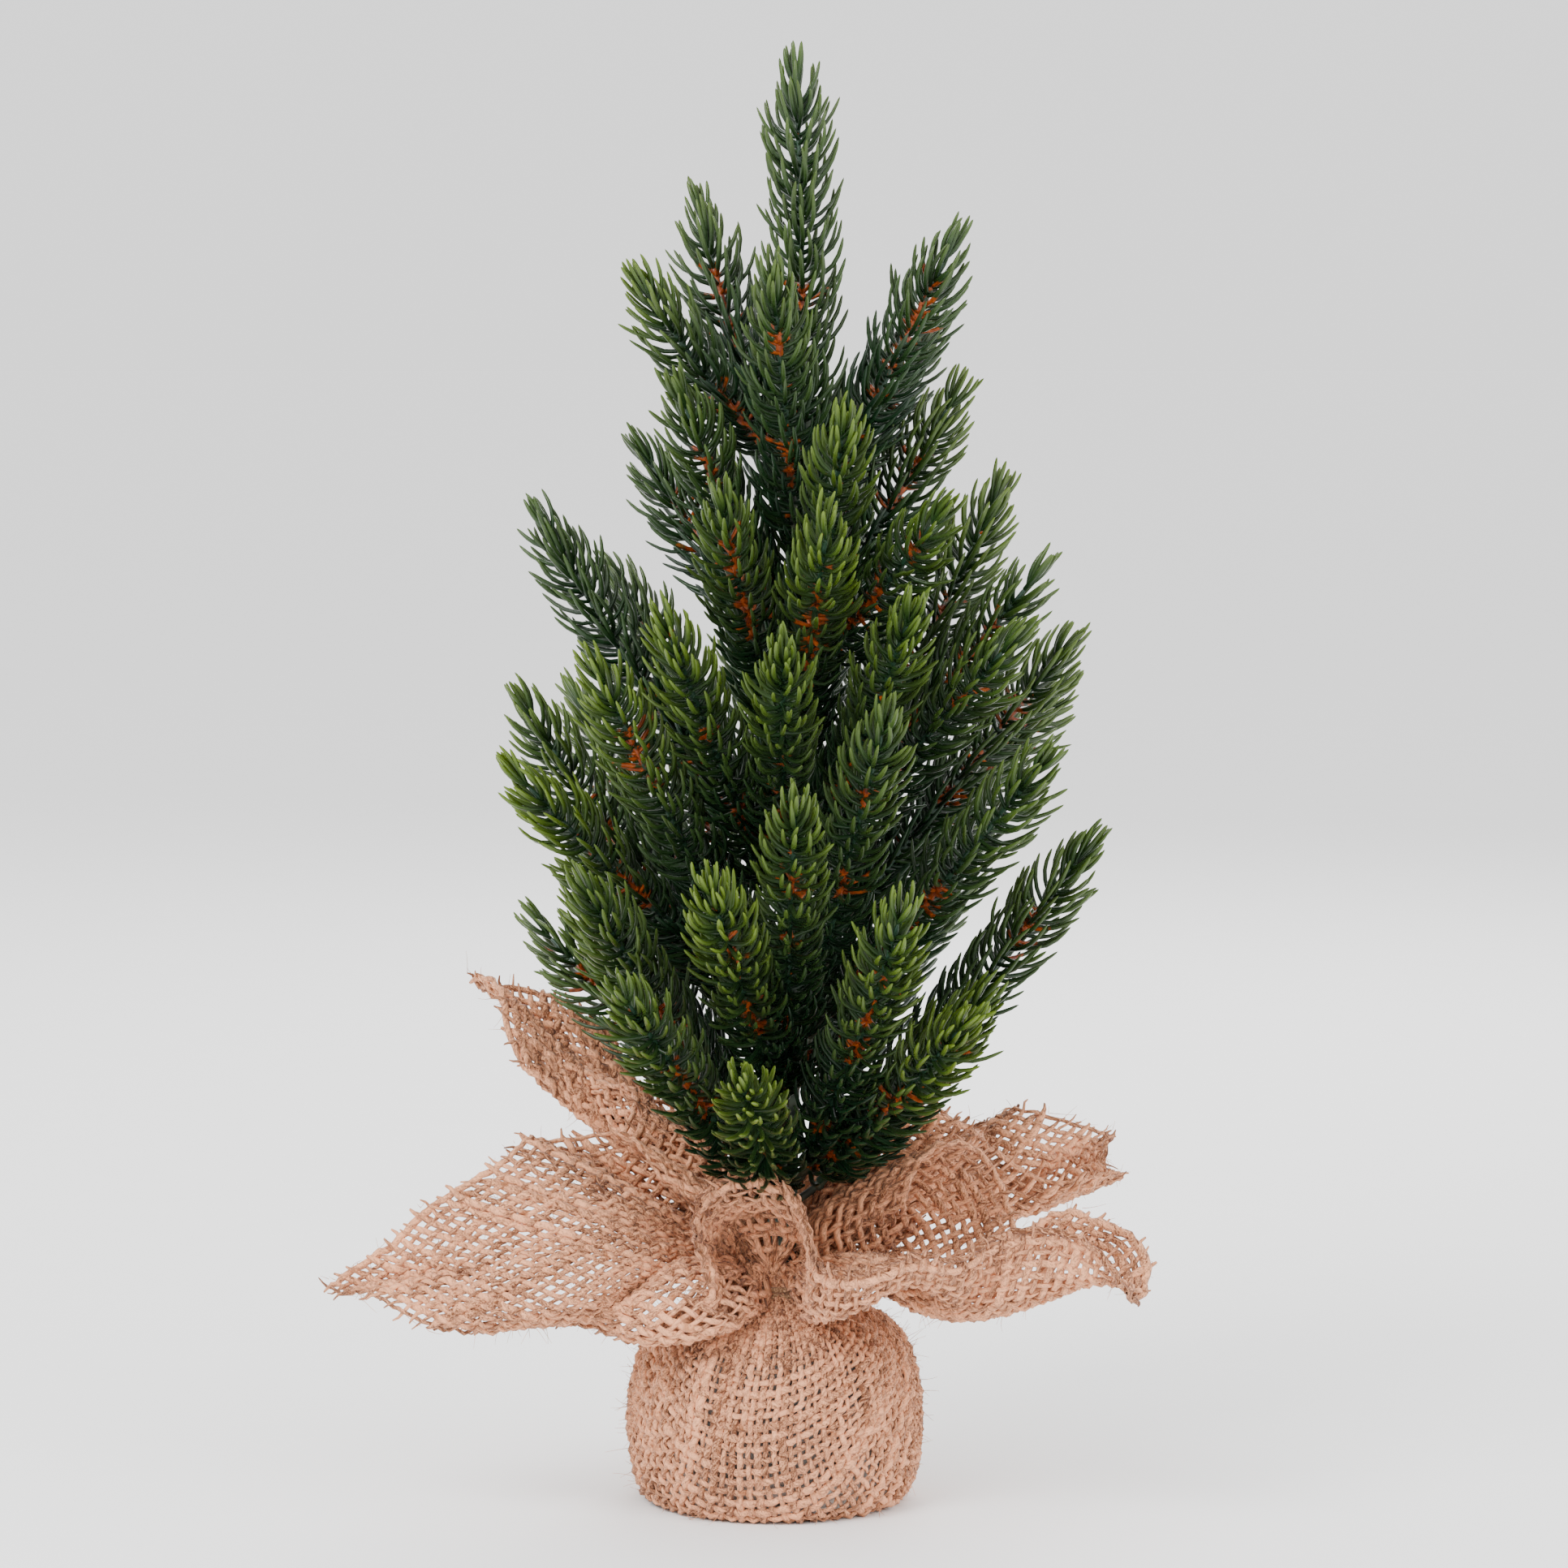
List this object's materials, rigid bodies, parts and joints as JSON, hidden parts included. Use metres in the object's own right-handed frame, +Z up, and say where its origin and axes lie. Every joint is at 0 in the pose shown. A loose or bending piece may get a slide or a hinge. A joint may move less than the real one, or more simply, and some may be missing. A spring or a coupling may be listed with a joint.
{
  "type": "artificial tabletop tree",
  "caption": "Small artificial conifer of moulded needle sprigs on bendable wire branches round a taped trunk, its weighted foot wrapped in gathered burlap.",
  "frame": {"origin": "on the resting plane, under the middle of the wrapped foot", "axes": "+Z up along the trunk, -Y towards the front, +X to the right seen from the front"},
  "size_m": [0.2073, 0.1724, 0.391],
  "materials": {
    "cement": "matte",
    "film": "gloss",
    "burlap": "matte",
    "twine": "matte",
    "steel_wire": "satin",
    "green_tape": "matte",
    "branch_wire": "satin",
    "sprig_plastic": "satin"
  },
  "bodies": {
    "root": {"cement_weight": "cement", "film_liner": "film", "burlap_wrap": "burlap", "neck_tie": "twine", "trunk_rod": "steel_wire", "trunk_wrap": "green_tape", "leader_sprig": "sprig_plastic"},
    "branch_01": {"branch_01_stem": "branch_wire", "branch_01_tips": "sprig_plastic"},
    "branch_02": {"branch_02_stem": "branch_wire", "branch_02_tips": "sprig_plastic"},
    "branch_03": {"branch_03_stem": "branch_wire", "branch_03_tips": "sprig_plastic"},
    "branch_04": {"branch_04_stem": "branch_wire", "branch_04_tips": "sprig_plastic"},
    "branch_05": {"branch_05_stem": "branch_wire", "branch_05_tips": "sprig_plastic"},
    "branch_06": {"branch_06_stem": "branch_wire", "branch_06_tips": "sprig_plastic"},
    "branch_07": {"branch_07_stem": "branch_wire", "branch_07_tips": "sprig_plastic"},
    "branch_08": {"branch_08_stem": "branch_wire", "branch_08_tips": "sprig_plastic"},
    "branch_09": {"branch_09_stem": "branch_wire", "branch_09_tips": "sprig_plastic"},
    "branch_10": {"branch_10_stem": "branch_wire", "branch_10_tips": "sprig_plastic"},
    "branch_11": {"branch_11_stem": "branch_wire", "branch_11_tips": "sprig_plastic"},
    "branch_12": {"branch_12_stem": "branch_wire", "branch_12_tips": "sprig_plastic"},
    "branch_13": {"branch_13_stem": "branch_wire", "branch_13_tips": "sprig_plastic"},
    "branch_14": {"branch_14_stem": "branch_wire", "branch_14_tips": "sprig_plastic"},
    "branch_15": {"branch_15_stem": "branch_wire", "branch_15_tips": "sprig_plastic"},
    "branch_16": {"branch_16_stem": "branch_wire", "branch_16_tips": "sprig_plastic"},
    "branch_17": {"branch_17_stem": "branch_wire", "branch_17_tips": "sprig_plastic"},
    "branch_18": {"branch_18_stem": "branch_wire", "branch_18_tips": "sprig_plastic"},
    "branch_19": {"branch_19_stem": "branch_wire", "branch_19_tips": "sprig_plastic"},
    "branch_20": {"branch_20_stem": "branch_wire", "branch_20_tips": "sprig_plastic"},
    "branch_21": {"branch_21_stem": "branch_wire", "branch_21_tips": "sprig_plastic"},
    "branch_22": {"branch_22_stem": "branch_wire", "branch_22_tips": "sprig_plastic"},
    "branch_23": {"branch_23_stem": "branch_wire", "branch_23_tips": "sprig_plastic"},
    "branch_24": {"branch_24_stem": "branch_wire", "branch_24_tips": "sprig_plastic"},
    "branch_25": {"branch_25_stem": "branch_wire", "branch_25_tips": "sprig_plastic"},
    "branch_26": {"branch_26_stem": "branch_wire", "branch_26_tips": "sprig_plastic"}
  },
  "joints": [
    {"name": "branch_01_bend", "type": "hinge", "parent": "root", "child": "branch_01", "pos_m": [0.00431, -0.00028, 0.286], "axis": [-0.0872, 0.9962, 0], "range_deg": [-8, 9]},
    {"name": "branch_02_bend", "type": "hinge", "parent": "root", "child": "branch_02", "pos_m": [0.0104, 0.00084, 0.278], "axis": [0.2588, -0.9659, 0], "range_deg": [-8, 9]},
    {"name": "branch_03_bend", "type": "hinge", "parent": "root", "child": "branch_03", "pos_m": [0.00664, -0.00334, 0.258], "axis": [-0.9994, 0.0349, 0], "range_deg": [-8, 9]},
    {"name": "branch_04_bend", "type": "hinge", "parent": "root", "child": "branch_04", "pos_m": [0.00278, -0.00012, 0.238], "axis": [-0.0349, 0.9994, 0], "range_deg": [-8, 9]},
    {"name": "branch_05_bend", "type": "hinge", "parent": "root", "child": "branch_05", "pos_m": [0.00877, 0.00243, 0.242], "axis": [0.7071, -0.7071, 0], "range_deg": [-8, 9]},
    {"name": "branch_06_bend", "type": "hinge", "parent": "root", "child": "branch_06", "pos_m": [0.00745, -0.0032, 0.23], "axis": [-0.9135, -0.4067, 0], "range_deg": [-8, 9]},
    {"name": "branch_07_bend", "type": "hinge", "parent": "root", "child": "branch_07", "pos_m": [0.00522, -0.00364, 0.204], "axis": [-0.9994, 0.0349, 0], "range_deg": [-8, 9]},
    {"name": "branch_08_bend", "type": "hinge", "parent": "root", "child": "branch_08", "pos_m": [0.006, 0.00321, 0.262], "axis": [0.9659, 0.2588, 0], "range_deg": [-8, 9]},
    {"name": "branch_09_bend", "type": "hinge", "parent": "root", "child": "branch_09", "pos_m": [0.00845, 0.00097, 0.184], "axis": [0.2588, -0.9659, 0], "range_deg": [-8, 9]},
    {"name": "branch_10_bend", "type": "hinge", "parent": "root", "child": "branch_10", "pos_m": [0.00679, -0.00311, 0.176], "axis": [-0.8192, -0.5736, 0], "range_deg": [-8, 9]},
    {"name": "branch_11_bend", "type": "hinge", "parent": "root", "child": "branch_11", "pos_m": [0.0011, 0.0013, 0.178], "axis": [0.342, 0.9397, 0], "range_deg": [-8, 9]},
    {"name": "branch_12_bend", "type": "hinge", "parent": "root", "child": "branch_12", "pos_m": [0.00346, -0.00379, 0.163], "axis": [-0.9781, 0.2079, 0], "range_deg": [-8, 9]},
    {"name": "branch_13_bend", "type": "hinge", "parent": "root", "child": "branch_13", "pos_m": [0.00513, 0.00361, 0.208], "axis": [0.9962, 0.0872, 0], "range_deg": [-8, 9]},
    {"name": "branch_14_bend", "type": "hinge", "parent": "root", "child": "branch_14", "pos_m": [0.00763, 0.00135, 0.15], "axis": [0.342, -0.9397, 0], "range_deg": [-8, 9]},
    {"name": "branch_15_bend", "type": "hinge", "parent": "root", "child": "branch_15", "pos_m": [0.00564, -0.00334, 0.126], "axis": [-0.8192, -0.5736, 0], "range_deg": [-8, 9]},
    {"name": "branch_16_bend", "type": "hinge", "parent": "root", "child": "branch_16", "pos_m": [0.00109, -0.00317, 0.136], "axis": [-0.788, 0.6157, 0], "range_deg": [-8, 9]},
    {"name": "branch_17_bend", "type": "hinge", "parent": "root", "child": "branch_17", "pos_m": [-0.00051, 0.00105, 0.13], "axis": [0.2588, 0.9659, 0], "range_deg": [-8, 9]},
    {"name": "branch_18_bend", "type": "hinge", "parent": "root", "child": "branch_18", "pos_m": [0.00405, 0.00389, 0.16], "axis": [0.9994, 0.0349, 0], "range_deg": [-8, 9]},
    {"name": "branch_19_bend", "type": "hinge", "parent": "root", "child": "branch_19", "pos_m": [0.00649, -0.00038, 0.084], "axis": [-0.0872, -0.9962, 0], "range_deg": [-8, 9]},
    {"name": "branch_20_bend", "type": "hinge", "parent": "root", "child": "branch_20", "pos_m": [0.00542, 0.00322, 0.104], "axis": [0.766, -0.6428, 0], "range_deg": [-8, 9]},
    {"name": "branch_21_bend", "type": "hinge", "parent": "root", "child": "branch_21", "pos_m": [0.00432, -0.00379, 0.088], "axis": [-0.8829, -0.4695, 0], "range_deg": [-5, 9]},
    {"name": "branch_22_bend", "type": "hinge", "parent": "root", "child": "branch_22", "pos_m": [0.00278, -0.00419, 0.106], "axis": [-1, 0, 0], "range_deg": [-8, 9]},
    {"name": "branch_23_bend", "type": "hinge", "parent": "root", "child": "branch_23", "pos_m": [0.00116, -0.00418, 0.084], "axis": [-0.9703, 0.2419, 0], "range_deg": [-3, 9]},
    {"name": "branch_24_bend", "type": "hinge", "parent": "root", "child": "branch_24", "pos_m": [-0.00146, -0.0018, 0.092], "axis": [-0.4226, 0.9063, 0], "range_deg": [-8, 9]},
    {"name": "branch_25_bend", "type": "hinge", "parent": "root", "child": "branch_25", "pos_m": [-0.00039, 0.00316, 0.094], "axis": [0.7431, 0.6691, 0], "range_deg": [-5, 9]},
    {"name": "branch_26_bend", "type": "hinge", "parent": "root", "child": "branch_26", "pos_m": [0.00155, 0.00382, 0.118], "axis": [0.9272, 0.3746, 0], "range_deg": [-8, 9]}
  ]
}
